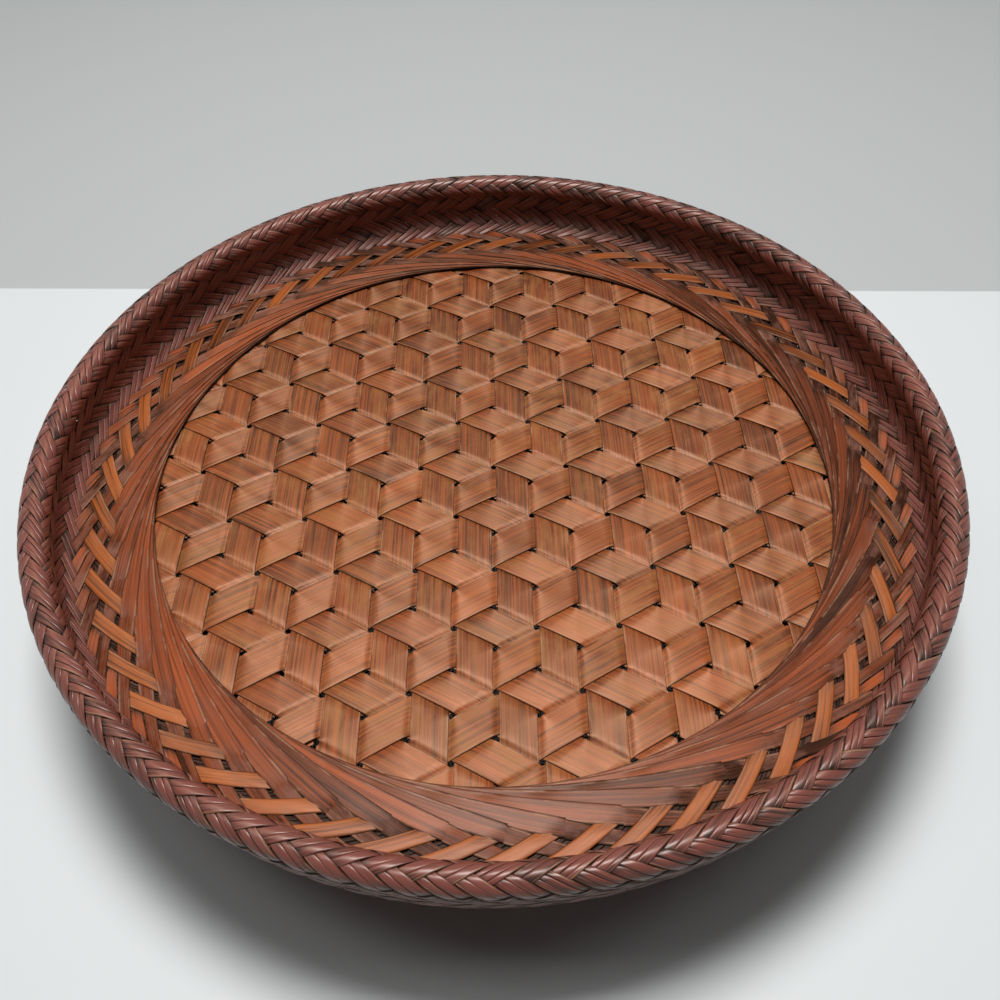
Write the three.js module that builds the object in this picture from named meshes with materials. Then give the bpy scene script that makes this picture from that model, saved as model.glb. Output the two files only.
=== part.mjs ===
// A round tray woven from bamboo strips, in millimetres, +Z up.
// The origin is at the tray's centre, on the surface that the tray stands on.

import * as THREE from 'three';

// Floor: three families of parallel strips that cross at 60 degrees, each strip in turn on top,
// in the middle and underneath
const GRID_PITCH = 16; // one strip and the gap to its neighbour
const STRIP_GAP = 1.2; // between the edges of two parallel strips
const STRIP_THICKNESS = 0.5;
const STRIPS_PER_FAMILY = 18;
const STAR_OFFSET = 3.2; // the weave's middle star lies this far behind the tray's centre
const STRIP_LAP = 8; // how far a strip reaches under the woven sheet

// Woven sheet: one fabric that runs outwards from the floor's edge, up the wall, over the rim,
// down outside and back under the floor's edge
const EDGE_CLEARANCE = 1.3; // from the outermost strips to the sheet's inner edge
const SHEET_THICKNESS = 2;
const RING_THICKNESS = 3.2; // the bundled strips at the sheet's inner edge
const FAN_WIDTH = 16; // the band in which the bundled strips spread
const BORDER_WIDTH = 36; // from the sheet's inner edge to the inner wall's middle
const INNER_BEND = 5;
const OUTER_BEND = 9;
const WALL_GAP = 1.8; // between the inner and the outer wall
const UNDERSIDE_INSET = 3; // the sheet's lower edge lies this far outside its inner edge

// Rim: the sheet wraps a hoop of round section
const RIM_HEIGHT = 31; // above the floor
const RIM_RADIUS = 5.9; // the wrapped section's outside
const RIM_OFFSET = 3; // the section's middle lies this far outside the inner wall's middle
const RIM_WRAP = 125; // degrees that the sheet follows the section to each side of its top

// Foot: a woven band that stands on a hoop of split bamboo
const FOOT_HEIGHT = 43;
const FOOT_INSET = 9; // from the sheet's lower edge to the band
const FOOT_BAND_THICKNESS = 2;
const FOOT_HOOP_HEIGHT = 6;
const FOOT_HOOP_WIDTH = 5;

const SEAT_GAP = 0.3; // between pieces that rest on each other

const ROUND_STEPS = 60;
const RIM_STEPS = 8;
const BEND_STEPS = 3;
const HOOP_SIDES = 8;

const FINISHES = {
  strip: { color: 0x9a5636, roughness: 0.5, metalness: 0 },
  sheet: { color: 0x6b3327, roughness: 0.45, metalness: 0 },
  hoop: { color: 0x8a5a3a, roughness: 0.6, metalness: 0 },
};

// Heights, from the foot upwards
const levelStep = STRIP_THICKNESS + SEAT_GAP;
const undersideMiddle = FOOT_HEIGHT + SEAT_GAP + SHEET_THICKNESS / 2;
const floorMiddle = undersideMiddle + SHEET_THICKNESS / 2 + SEAT_GAP + STRIP_THICKNESS / 2 + levelStep;
const floorTop = floorMiddle + levelStep + STRIP_THICKNESS / 2;
const sheetBottom = floorTop + SEAT_GAP;
const borderMiddle = sheetBottom + SHEET_THICKNESS / 2;

// Radii, from the floor outwards
const ringRadius = (STRIPS_PER_FAMILY / 2) * GRID_PITCH + EDGE_CLEARANCE;
const innerWall = ringRadius + BORDER_WIDTH;
const outerWall = innerWall + SHEET_THICKNESS + WALL_GAP;
const undersideEdge = ringRadius + UNDERSIDE_INSET;

const slopeReach = STRIP_GAP / 4; // from a grid line to each end of a strip's slope across it

const rim = {
  radius: innerWall + RIM_OFFSET,
  height: floorTop + RIM_HEIGHT - RIM_RADIUS,
  section: RIM_RADIUS - SHEET_THICKNESS / 2,
};

function named(name, geometry, finish) {
  const mesh = new THREE.Mesh(geometry, new THREE.MeshStandardMaterial({ ...finish, flatShading: true }));
  mesh.name = name;
  return mesh;
}

// Points of an arc in the plane of radius and height, its angles in degrees from straight outwards
function arc(radius, height, size, from, to, steps) {
  return Array.from({ length: steps + 1 }, (_, n) => {
    const angle = THREE.MathUtils.degToRad(from + ((to - from) * n) / steps);
    return new THREE.Vector2(radius + size * Math.cos(angle), height + size * Math.sin(angle));
  });
}

// A solid of revolution about Z from a closed outline in the plane of radius and height
function turned(outline) {
  const points = THREE.ShapeUtils.isClockWise(outline) ? [...outline].reverse() : [...outline];
  points.push(points[0].clone());
  return new THREE.LatheGeometry(points, ROUND_STEPS).rotateX(Math.PI / 2);
}

// The three families of the floor. Their normals lie 120 degrees apart, so that the distances of
// any point along them add up to zero.
const families = [['falling', 240], ['rising', 120], ['upright', 0]].map(([name, degrees]) => {
  const angle = THREE.MathUtils.degToRad(degrees);
  return {
    name,
    normal: new THREE.Vector2(Math.cos(angle), Math.sin(angle)),
    along: new THREE.Vector2(-Math.sin(angle), Math.cos(angle)),
  };
});

const isMultipleOfThree = (value) => value % 3 === 0;

// The three strips that cross at one spot are given by their numbers, one of each family. A strip
// goes over the next family's strip where their numbers differ by a multiple of three, and under
// it elsewhere. That puts one of them on top (1), one in the middle (0) and one below (-1).
function levelOf(family, numbers) {
  const overNext = isMultipleOfThree(numbers[family] - numbers[(family + 1) % 3]);
  const underLast = isMultipleOfThree(numbers[(family + 2) % 3] - numbers[family]);
  return Number(overNext) - Number(underLast);
}

// One strip: the grid lines of the other two families cut it into triangles, and it keeps one
// level over each triangle. Where the level changes it slopes across the grid line, in the gap
// between the two strips that lie along that line.
class FloorStrip {
  constructor(family, number) {
    this.family = family;
    this.number = number;
    this.middle = (number + 0.5) * GRID_PITCH;
    this.lines = this.gridLines();
    this.sections = this.crossSections();
  }

  point(across, place) {
    const { normal, along } = families[this.family];
    return new THREE.Vector2(0, STAR_OFFSET).addScaledVector(normal, across).addScaledVector(along, place);
  }

  // Where a grid line, moved by an offset along the strip's own run, meets a line along the strip
  placeOn(line, across, offset = 0) {
    return (line.distance - line.lean * across) / line.run + offset / Math.abs(line.run);
  }

  gridLines() {
    const own = families[this.family];
    const others = families.filter((family) => family !== own);
    const lines = others.flatMap(({ normal }) => {
      const run = own.along.dot(normal);
      const lean = own.normal.dot(normal);
      const count = 2 * STRIPS_PER_FAMILY + 1;
      return Array.from({ length: count }, (_, n) => (
        { run, lean, distance: (n - STRIPS_PER_FAMILY) * GRID_PITCH }
      ));
    });
    return lines.sort((a, b) => this.placeOn(a, this.middle) - this.placeOn(b, this.middle));
  }

  // The strip covers every triangle whose middle is near enough, and its ends lie along the grid
  // lines that bound the first and the last of them
  crossSections() {
    const reach = ringRadius + STRIP_LAP;
    const triangles = this.lines.slice(1).map((end, n) => {
      const start = this.lines[n];
      const place = (this.placeOn(start, this.middle) + this.placeOn(end, this.middle)) / 2;
      const spot = new THREE.Vector2().addScaledVector(families[this.family].normal, this.middle)
        .addScaledVector(families[this.family].along, place);
      const numbers = families.map(({ normal }) => Math.floor(spot.dot(normal) / GRID_PITCH));
      return { start, end, level: levelOf(this.family, numbers), radius: this.point(this.middle, place).length() };
    }).filter(({ radius }) => radius < reach);
    return triangles.flatMap(({ start, end, level }, n) => {
      const startsHere = n === 0 || triangles[n - 1].level !== level;
      const endsHere = n === triangles.length - 1 || triangles[n + 1].level !== level;
      return [
        ...(startsHere ? [this.section(start, slopeReach, level)] : []),
        ...(endsHere ? [this.section(end, -slopeReach, level)] : []),
      ];
    });
  }

  // Four corners of the strip beside a grid line: lower and upper at one edge, upper and lower at
  // the other
  section(line, offset, level) {
    const height = floorMiddle + level * levelStep;
    const low = height - STRIP_THICKNESS / 2;
    const high = height + STRIP_THICKNESS / 2;
    const [first, second] = [-1, 1].map((side) => {
      const across = this.middle + (side * (GRID_PITCH - STRIP_GAP)) / 2;
      return this.point(across, this.placeOn(line, across, offset));
    });
    return [[first, low], [first, high], [second, high], [second, low]];
  }

  geometry() {
    const positions = this.sections.flat().flatMap(([{ x, y }, z]) => [x, y, z]);
    const faces = [];
    const quad = (a, b, c, d) => faces.push(a, b, c, a, c, d);
    for (let n = 0; n < this.sections.length - 1; n += 1) {
      for (let side = 0; side < 4; side += 1) {
        const here = 4 * n + side;
        const next = 4 * n + ((side + 1) % 4);
        quad(here, next, next + 4, here + 4);
      }
    }
    const last = positions.length / 3 - 4;
    quad(3, 2, 1, 0);
    quad(last, last + 1, last + 2, last + 3);
    const geometry = new THREE.BufferGeometry();
    geometry.setAttribute('position', new THREE.Float32BufferAttribute(positions, 3));
    geometry.setIndex(faces);
    geometry.computeVertexNormals();
    return geometry;
  }
}

function floorWeave() {
  const weave = new THREE.Group();
  families.forEach(({ name }, family) => {
    for (let n = 0; n < STRIPS_PER_FAMILY; n += 1) {
      const strip = new FloorStrip(family, n - STRIPS_PER_FAMILY / 2);
      const label = String(n + 1).padStart(2, '0');
      weave.add(named(`strip_${name}_${label}`, strip.geometry(), FINISHES.strip));
    }
  });
  return weave;
}

// The sheet's middle line, from its inner edge over the rim to its lower edge, each point with the
// sheet's thickness there
function sheetLine() {
  const thickEdge = new THREE.Vector2(ringRadius, sheetBottom + RING_THICKNESS / 2);
  const plain = [
    new THREE.Vector2(ringRadius + FAN_WIDTH, borderMiddle),
    ...arc(innerWall - INNER_BEND, borderMiddle + INNER_BEND, INNER_BEND, -90, 0, BEND_STEPS),
    ...arc(rim.radius, rim.height, rim.section, 90 + RIM_WRAP, 90 - RIM_WRAP, RIM_STEPS),
    ...arc(outerWall - OUTER_BEND, undersideMiddle + OUTER_BEND, OUTER_BEND, 0, -90, BEND_STEPS),
    new THREE.Vector2(undersideEdge, undersideMiddle),
  ];
  return [
    { point: thickEdge, thickness: RING_THICKNESS },
    ...plain.map((point) => ({ point, thickness: SHEET_THICKNESS })),
  ];
}

// Both faces of the sheet, half its thickness to each side of the middle line
function wovenSheet() {
  const line = sheetLine();
  const face = (side) => line.map(({ point, thickness }, n) => {
    const before = line[Math.max(n - 1, 0)].point;
    const after = line[Math.min(n + 1, line.length - 1)].point;
    const run = after.clone().sub(before).normalize();
    const normal = new THREE.Vector2(-run.y, run.x);
    return point.clone().addScaledVector(normal, (side * thickness) / 2);
  });
  return named('woven_border', turned([...face(1), ...face(-1).reverse()]), FINISHES.sheet);
}

function rimHoop() {
  const size = rim.section - SHEET_THICKNESS / 2 - SEAT_GAP;
  const outline = arc(rim.radius, rim.height, size, 0, 360, HOOP_SIDES).slice(0, HOOP_SIDES);
  return named('rim_hoop', turned(outline), FINISHES.hoop);
}

// The outline of an upright wall between two heights, centred on a radius
function uprightWall(middle, width, bottom, top) {
  return [
    new THREE.Vector2(middle - width / 2, bottom),
    new THREE.Vector2(middle + width / 2, bottom),
    new THREE.Vector2(middle + width / 2, top),
    new THREE.Vector2(middle - width / 2, top),
  ];
}

function foot() {
  const middle = undersideEdge + FOOT_INSET + FOOT_BAND_THICKNESS / 2;
  const band = uprightWall(middle, FOOT_BAND_THICKNESS, FOOT_HOOP_HEIGHT + SEAT_GAP, FOOT_HEIGHT);
  const hoop = uprightWall(middle, FOOT_HOOP_WIDTH, 0, FOOT_HOOP_HEIGHT);
  return new THREE.Group().add(
    named('foot_band', turned(band), FINISHES.sheet),
    named('foot_hoop', turned(hoop), FINISHES.hoop),
  );
}

const tray = new THREE.Group();
tray.name = 'woven_tray';
tray.add(floorWeave(), wovenSheet(), rimHoop(), foot());

export default tray;
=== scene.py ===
"""A round footed tray woven from stained split bamboo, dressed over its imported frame.

Lengths are in millimetres until a mesh is made, and angles in radians unless a comment says
degrees. On the woven sheet, a place is given by its angle round the tray and its distance along
the sheet's profile, which runs from the floor's edge up the wall, over the rim, down outside and
back below the floor's edge.
"""

import bpy
import numpy as np
from mathutils import Matrix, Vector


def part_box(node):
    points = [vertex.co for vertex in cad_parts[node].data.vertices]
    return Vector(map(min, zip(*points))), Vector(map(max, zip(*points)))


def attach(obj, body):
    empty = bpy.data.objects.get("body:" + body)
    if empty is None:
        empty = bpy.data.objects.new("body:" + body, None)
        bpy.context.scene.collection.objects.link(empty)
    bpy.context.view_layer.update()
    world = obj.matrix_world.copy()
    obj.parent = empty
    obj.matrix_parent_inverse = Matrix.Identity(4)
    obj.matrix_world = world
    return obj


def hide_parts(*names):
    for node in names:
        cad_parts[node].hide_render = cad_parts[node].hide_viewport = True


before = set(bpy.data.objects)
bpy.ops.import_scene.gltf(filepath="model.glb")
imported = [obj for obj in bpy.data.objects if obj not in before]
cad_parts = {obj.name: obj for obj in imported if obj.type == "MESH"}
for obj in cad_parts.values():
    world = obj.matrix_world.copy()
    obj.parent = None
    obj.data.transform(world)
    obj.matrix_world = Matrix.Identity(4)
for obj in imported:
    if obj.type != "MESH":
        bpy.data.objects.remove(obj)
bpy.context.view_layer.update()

MM = 0.001


def box_mm(node):
    """Lowest and highest corner of a CAD node, in millimetres."""
    return [np.array(corner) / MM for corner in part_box(node)]


# Sizes that the frame gives
strip_low, strip_high = box_mm("strip_upright_10")
border_low, border_high = box_mm("woven_border")
rim_low, rim_high = box_mm("rim_hoop")
band_low, band_high = box_mm("foot_band")
hoop_high = box_mm("foot_hoop")[1]

# Sizes that the solids share and their boxes don't give
STRIPS_PER_FAMILY = 18
STAR_OFFSET = 3.2  # the weave's middle star lies this far behind the tray's centre
EDGE_CLEARANCE = 1.3  # from the outermost strips to the sheet's inner edge
SHEET = 2.0  # thickness of the woven sheet
RIM_OFFSET = 3.0  # the rim's middle lies this far outside the inner wall's middle
WALL_GAP = 1.8  # between the inner and the outer wall
OUTER_BEND = 9.0
UNDERSIDE_INSET = 3.0  # the sheet's lower edge lies this far outside its inner edge
SEAT_GAP = 0.3  # between pieces that rest on each other
FOOT_HOOP_WIDTH = 5.0

# How the weave lies in the solid sheet: its lower bend, and its depth below the sheet's face
INNER_BEND = 9.0
COVER = 0.85

# The tenth upright strip is the first one beyond the middle line, so its edges add up to a pitch
PITCH = strip_low[0] + strip_high[0]
FLOOR_MIDDLE = (strip_low[2] + strip_high[2]) / 2
FLOOR_TOP = strip_high[2]
BORDER_MIDDLE = FLOOR_TOP + SEAT_GAP + SHEET / 2
UNDERSIDE_MIDDLE = border_low[2] + SHEET / 2
RING = STRIPS_PER_FAMILY / 2 * PITCH + EDGE_CLEARANCE
UNDERSIDE_EDGE = RING + UNDERSIDE_INSET
RIM_SECTION = (rim_high[2] - rim_low[2]) / 2
RIM_HEIGHT = (rim_high[2] + rim_low[2]) / 2
RIM_RADIUS = rim_high[0] - RIM_SECTION
RIM_OUTSIDE = border_high[0] - RIM_RADIUS
INNER_WALL = RIM_RADIUS - RIM_OFFSET
OUTER_WALL = INNER_WALL + SHEET + WALL_GAP

SPLINTS = 102  # in each of the border's two families
STEP = 2 * np.pi / SPLINTS

# One source of random numbers, so that each run draws the same ones
random = np.random.default_rng(51)
OWN_NUMBERS = (0, 90)  # a strip's own number shifts its noise
PHASES = (0, 6)


# Meshes

SHARP_ANGLE = np.radians(50)


def closed_strips(points):
    """Faces of strips that are carried along a path, from points[strip, row, around].

    Each face joins two neighbours round the section and the same two in the next row, and each
    end is closed by one face.
    """
    strips, rows, around = points.shape[:3]
    index = np.arange(strips * rows * around).reshape(strips, rows, around)
    beside = np.roll(index, -1, axis=2)
    sides = np.stack([index[:, :-1], beside[:, :-1], beside[:, 1:], index[:, 1:]], axis=-1)
    first = index[:, 0, ::-1]
    last = index[:, -1]
    return sides.reshape(-1, 4), np.concatenate([first, last])


def closed_ring(points):
    """Faces of a section that is carried round and meets itself, from points[row, around]."""
    rows, around = points.shape[:2]
    index = np.arange(rows * around).reshape(rows, around)
    beside = np.roll(index, -1, axis=1)
    ahead = np.roll(index, -1, axis=0)
    corner = np.roll(beside, -1, axis=0)
    return np.stack([index, beside, corner, ahead], axis=-1).reshape(-1, 4), np.empty((0, 4), int)


def across_fibres(points, section):
    """Unit vectors from the left edge of each section to its right edge, one for every point."""
    left, right = np.argmin(section[:, 0]), np.argmax(section[:, 0])
    edge_to_edge = points[..., right:right + 1, :] - points[..., left:left + 1, :]
    length = np.linalg.norm(edge_to_edge, axis=-1, keepdims=True)
    return np.broadcast_to(edge_to_edge / length, points.shape)


def fibre_values(across, along):
    """Places across and along the fibres in metres, and a number of the strip's own."""
    across, along = np.broadcast_arrays(across, along)
    own_number = np.full(across.shape, random.uniform(*OWN_NUMBERS))
    return np.stack([across * MM, along * MM, own_number], axis=-1)


def new_piece(name, points, faces, material, nodes, fibre=None, finish=None, across=None):
    """A mesh object from points in millimetres, riding on the tray and standing for its nodes.

    fibre holds a place across, a place along and a number of its own for each strip, finish
    holds the nearness to an edge, the tone with its painted light and shade, and the dust, and
    across is the direction that lies in the surface at right angles to the fibres.
    """
    mesh = bpy.data.meshes.new(name)
    places = points.reshape(-1, 3) * MM
    mesh.vertices.add(len(places))
    mesh.vertices.foreach_set("co", places.astype(np.float32).ravel())
    sizes = np.concatenate([np.full(len(group), group.shape[1]) for group in faces])
    mesh.loops.add(int(sizes.sum()))
    mesh.loops.foreach_set("vertex_index", np.concatenate([group.ravel() for group in faces]))
    mesh.polygons.add(len(sizes))
    mesh.polygons.foreach_set("loop_start", np.concatenate([[0], np.cumsum(sizes)[:-1]]))
    mesh.polygons.foreach_set("use_smooth", np.ones(len(sizes), bool))
    for label, values in (("fibre", fibre), ("finish", finish), ("across", across)):
        if values is not None:
            attribute = mesh.attributes.new(label, "FLOAT_VECTOR", "POINT")
            attribute.data.foreach_set("vector", values.astype(np.float32).ravel())
    mesh.update(calc_edges=True)
    mesh.set_sharp_from_angle(angle=SHARP_ANGLE)
    mesh.materials.append(material)
    piece = bpy.data.objects.new(name, mesh)
    bpy.context.collection.objects.link(piece)
    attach(piece, "root")
    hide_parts(*nodes)
    return piece


# Materials

def linear(code):
    """An sRGB hex colour as linear red, green, blue and alpha."""
    values = np.array([int(code[n:n + 2], 16) for n in (1, 3, 5)]) / 255
    low = values / 12.92
    high = ((values + 0.055) / 1.055) ** 2.4
    return (*np.where(values <= 0.04045, low, high), 1.0)


def add_node(tree, kind, inputs=(), **settings):
    """Add a node, set its settings, and fill or link its inputs by name or number."""
    made = tree.nodes.new(kind)
    for key, value in settings.items():
        setattr(made, key, value)
    for key, value in dict(inputs).items():
        if isinstance(value, bpy.types.NodeSocket):
            tree.links.new(value, made.inputs[key])
        else:
            made.inputs[key].default_value = value
    return made


def new_material(name):
    """A material with an empty node tree."""
    material = bpy.data.materials.new(name)
    material.use_nodes = True
    material.node_tree.nodes.clear()
    return material, material.node_tree


def calculate(tree, operation, *values):
    """The result of an operation on one or two values."""
    made = add_node(tree, "ShaderNodeMath", dict(enumerate(values)), operation=operation)
    return made.outputs["Value"]


def carry(tree, value, low, high, to_low=0.0, to_high=1.0):
    """A value carried evenly from one range to another, and held at its ends."""
    made = add_node(tree, "ShaderNodeMapRange", {
        "Value": value, "From Min": low, "From Max": high, "To Min": to_low,
        "To Max": to_high})
    return made.outputs["Result"]


def blend(tree, share, first, second):
    """A colour that goes from the first to the second by a share."""
    made = add_node(tree, "ShaderNodeMix", {0: share, 6: first, 7: second}, data_type="RGBA")
    return made.outputs[2]


def drawn_out_noise(tree, fibre, width, length, detail, roughness, layer=0.0):
    """Noise as wide as given across the fibres and as long as given along them."""
    place = add_node(tree, "ShaderNodeMapping", {
        "Vector": fibre, "Location": (0.0, 0.0, layer),
        "Scale": (1 / (width * MM), 1 / (length * MM), 1.0)})
    made = add_node(tree, "ShaderNodeTexNoise", {
        "Vector": place.outputs["Vector"], "Scale": 1.0, "Detail": detail,
        "Roughness": roughness})
    return made.outputs["Fac"]


# What the stain and the lacquer show on split bamboo, in millimetres
FIBRE_WIDTH = 0.85
FIBRE_LENGTH = 90.0
PATCH_WIDTH = 5.0
PATCH_LENGTH = 16.0
CRACK_WIDTH = 0.8
CRACK_LAYER = 50.0  # keeps the cracks' noise apart from the strands'
GROOVE_DEPTH = 0.16
HOOP_GROOVE_DEPTH = 0.15

# Near-black for cracks and for the dark edges, which are partly stain and partly painted shade in
# the gaps between strips
STAIN_AND_GAP_SHADE = "#1b110e"
WORN_EDGE = "#c09070"
SHEEN_TINT = "#ffcca6"
HOOP_DARK, HOOP_LIGHT = "#4a2a1d", "#8a5638"

BAMBOO_IOR = 1.5
FIBRE_SCATTER = 0.8  # how far the gloss spreads across the fibres rather than along them
GLOSS_SPREAD = 0.15  # roughness that patches of the lacquer add
DULLNESS = 0.4  # roughness that hidden, dark and dusty places add


def split_bamboo(name, dark, light, bloom_and_sheen, bloom_and_sheen_share, streaks, roughness, sheen, coat,
                 coat_roughness, cracks_here, edge_from):
    """Split bamboo, stained red-brown and lacquered.

    The eye sees fine straight fibres that took the stain unevenly, greyish bloom where the outer
    skin of the culm repelled it, which is partly a painted sheen, dark stain at the edges, which
    is partly painted shade in the gaps between strips, and the soft gloss of lacquer. The fibres
    scatter light across themselves, so a strip is bright or dark by the way it runs. Fibres are
    drawn a little coarser than the real 0.2 mm, so that they show.

    The stain goes from dark to light by the strip's tone, which also carries painted light and
    shade, plus a noise of the strands, which reaches from minus streaks to streaks. Bloom, partly
    a painted sheen, covers patches by its share times the dust, cracks are thin dark lines, and
    the dark edge, stain and painted shade of the gaps, starts at edge_from, a share of half the
    strip's width, with a line worn in patches just inside it. How much a place has been handled
    is the product of how raised, how far from the edge and how clean it is.
    """
    material, tree = new_material(name)
    fibre = add_node(tree, "ShaderNodeAttribute", attribute_name="fibre").outputs["Vector"]
    finish = add_node(tree, "ShaderNodeAttribute", attribute_name="finish")
    across = add_node(tree, "ShaderNodeAttribute", attribute_name="across")
    parts = add_node(tree, "ShaderNodeSeparateXYZ", {"Vector": finish.outputs["Vector"]})
    nearness, tone, dust = parts.outputs
    strands = drawn_out_noise(tree, fibre, FIBRE_WIDTH, FIBRE_LENGTH, 4.0, 0.78)
    patches = drawn_out_noise(tree, fibre, PATCH_WIDTH, PATCH_LENGTH, 5.0, 0.65)
    cracks = drawn_out_noise(tree, fibre, CRACK_WIDTH, FIBRE_LENGTH, 1.0, 0.5, CRACK_LAYER)

    contrast = carry(tree, strands, 0.3, 0.7, -streaks, streaks)
    lightness = calculate(tree, "ADD", contrast, tone)
    stained = blend(tree, lightness, linear(dark), linear(light))
    # Bloom: patches where the skin repelled the stain, which are partly a painted sheen
    bloom_and_sheen_place = carry(tree, patches, 0.42, 0.64, 0.0, bloom_and_sheen_share)
    bloom_and_sheen_here = calculate(tree, "MULTIPLY", bloom_and_sheen_place, dust)
    with_bloom_and_sheen = blend(tree, bloom_and_sheen_here, stained, linear(bloom_and_sheen))
    crack = carry(tree, cracks, 0.36, 0.3, 0.0, cracks_here)
    cracked = blend(tree, crack, with_bloom_and_sheen, linear(STAIN_AND_GAP_SHADE))
    aside = calculate(tree, "ABSOLUTE", nearness)
    worn = carry(tree, patches, 0.5, 0.6, 0.0, 0.45)
    beside = carry(tree, aside, edge_from - 0.06, edge_from - 0.03)
    worn_edge = calculate(tree, "MULTIPLY", worn, beside)
    scraped = blend(tree, worn_edge, cracked, linear(WORN_EDGE))
    # Dark edge: stain, and painted shade of the gaps between strips
    edge = carry(tree, aside, edge_from, 1.0, 0.0, 0.85)
    colour = blend(tree, edge, scraped, linear(STAIN_AND_GAP_SHADE))

    raised = carry(tree, tone, -0.2, 0.3, 0.1, 1.0)
    inward = carry(tree, edge, 0.0, 1.0, 1.0, 0.0)
    clean = carry(tree, dust, 0.8, 1.6, 1.0, 0.35)
    exposed = calculate(tree, "MULTIPLY", raised, inward)
    handled = calculate(tree, "MULTIPLY", exposed, clean)
    gloss = carry(tree, patches, 0.3, 0.7, roughness, roughness + GLOSS_SPREAD)
    dulled = carry(tree, handled, 0.0, 1.0, DULLNESS, 0.0)
    relief = add_node(tree, "ShaderNodeBump", {
        "Strength": 0.6, "Distance": GROOVE_DEPTH * MM, "Height": strands})
    surface = add_node(tree, "ShaderNodeBsdfPrincipled", {
        "Base Color": colour, "Roughness": calculate(tree, "ADD", gloss, dulled),
        "IOR": BAMBOO_IOR, "Specular IOR Level": sheen, "Specular Tint": linear(SHEEN_TINT),
        "Anisotropic": FIBRE_SCATTER, "Tangent": across.outputs["Vector"],
        "Coat Weight": carry(tree, handled, 0.0, 1.0, 0.0, coat),
        "Coat Roughness": coat_roughness, "Normal": relief.outputs["Normal"]})
    add_node(tree, "ShaderNodeOutputMaterial", {"Surface": surface.outputs["BSDF"]})
    return material


def bent_bamboo():
    """Hoops bent from a thick split of culm, scraped and stained.

    The eye sees long fibres that follow the hoop round, and less gloss than on the splints. The
    noise's place is the radius and the height, in fibre widths, plus a slow drift along X and Y.
    """
    material, tree = new_material("stained_bent_bamboo_hoop")
    place = add_node(tree, "ShaderNodeTexCoord")
    parts = add_node(tree, "ShaderNodeSeparateXYZ", {"Vector": place.outputs["Object"]})
    flat = add_node(tree, "ShaderNodeCombineXYZ", {
        "X": parts.outputs["X"], "Y": parts.outputs["Y"]})
    radius = add_node(tree, "ShaderNodeVectorMath", {
        0: flat.outputs["Vector"]}, operation="LENGTH")
    turned = add_node(tree, "ShaderNodeCombineXYZ", {
        "X": radius.outputs["Value"], "Y": parts.outputs["Z"]})
    across = add_node(tree, "ShaderNodeVectorMath", {
        0: turned.outputs["Vector"], "Scale": 1 / (FIBRE_WIDTH * MM)}, operation="SCALE")
    along = add_node(tree, "ShaderNodeVectorMath", {
        0: flat.outputs["Vector"], "Scale": 1 / (FIBRE_LENGTH * MM)}, operation="SCALE")
    both = add_node(tree, "ShaderNodeVectorMath", {
        0: across.outputs["Vector"], 1: along.outputs["Vector"]}, operation="ADD")
    strands = add_node(tree, "ShaderNodeTexNoise", {
        "Vector": both.outputs["Vector"], "Scale": 1.0, "Detail": 3.0, "Roughness": 0.6})
    lightness = carry(tree, strands.outputs["Fac"], 0.3, 0.7)
    relief = add_node(tree, "ShaderNodeBump", {
        "Strength": 0.4, "Distance": HOOP_GROOVE_DEPTH * MM, "Height": strands.outputs["Fac"]})
    surface = add_node(tree, "ShaderNodeBsdfPrincipled", {
        "Base Color": blend(tree, lightness, linear(HOOP_DARK), linear(HOOP_LIGHT)),
        "Roughness": 0.5, "IOR": BAMBOO_IOR, "Normal": relief.outputs["Normal"]})
    add_node(tree, "ShaderNodeOutputMaterial", {"Surface": surface.outputs["BSDF"]})
    return material


# Each material's bloom colour is partly a painted sheen
FLOOR_BAMBOO = split_bamboo(
    "stained_split_bamboo_floor", dark="#3a1608", light="#a25228", bloom_and_sheen="#a3703f",
    bloom_and_sheen_share=0.5, streaks=0.72, roughness=0.43, sheen=0.9, coat=0.15, coat_roughness=0.45,
    cracks_here=0.45, edge_from=0.95)
FAN_BAMBOO = split_bamboo(
    "stained_split_bamboo_fan", dark="#260b04", light="#a4502a", bloom_and_sheen="#84584a",
    bloom_and_sheen_share=0.4, streaks=0.52, roughness=0.43, sheen=0.42, coat=0.2, coat_roughness=0.35,
    cracks_here=0.4, edge_from=0.78)
BAR_BAMBOO = split_bamboo(
    "stained_split_bamboo_bars", dark="#2a0f06", light="#a95a29", bloom_and_sheen="#7f5848",
    bloom_and_sheen_share=0.4, streaks=0.75, roughness=0.43, sheen=0.42, coat=0.2, coat_roughness=0.35,
    cracks_here=0.5, edge_from=0.8)
BORDER_BAMBOO = split_bamboo(
    "stained_split_bamboo_border", dark="#160b09", light="#7c4238", bloom_and_sheen="#80594f",
    bloom_and_sheen_share=0.4, streaks=0.95, roughness=0.4, sheen=0.4, coat=0.6, coat_roughness=0.3,
    cracks_here=0.6, edge_from=0.82)
HOOP_BAMBOO = bent_bamboo()


# Floor: three families of strips, whose normals lie 120 degrees apart

FAMILIES = ("falling", "rising", "upright")
NORMALS = np.array([[np.cos(angle), np.sin(angle)] for angle in np.radians([240, 120, 0])])
STRIP_WIDTH = 13.9
LEVEL_STEP = 0.6  # from one level to the next
SLOPE_REACH = 0.9  # from a line between levels to each end of the slope across it
STRIP_BOW = 0.28  # how far a strip bows up in the middle of a stretch on top
STRIP_LAP = 8.0  # how far a strip reaches under the woven sheet
STRIP_PATCH = 18.0  # from one change of a strip's tone to the next
STRIP_TONES = (0.36, 0.68)
PATCH_TONE = 0.07
STRIP_DUST = (0.2, 1.0)
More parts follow.
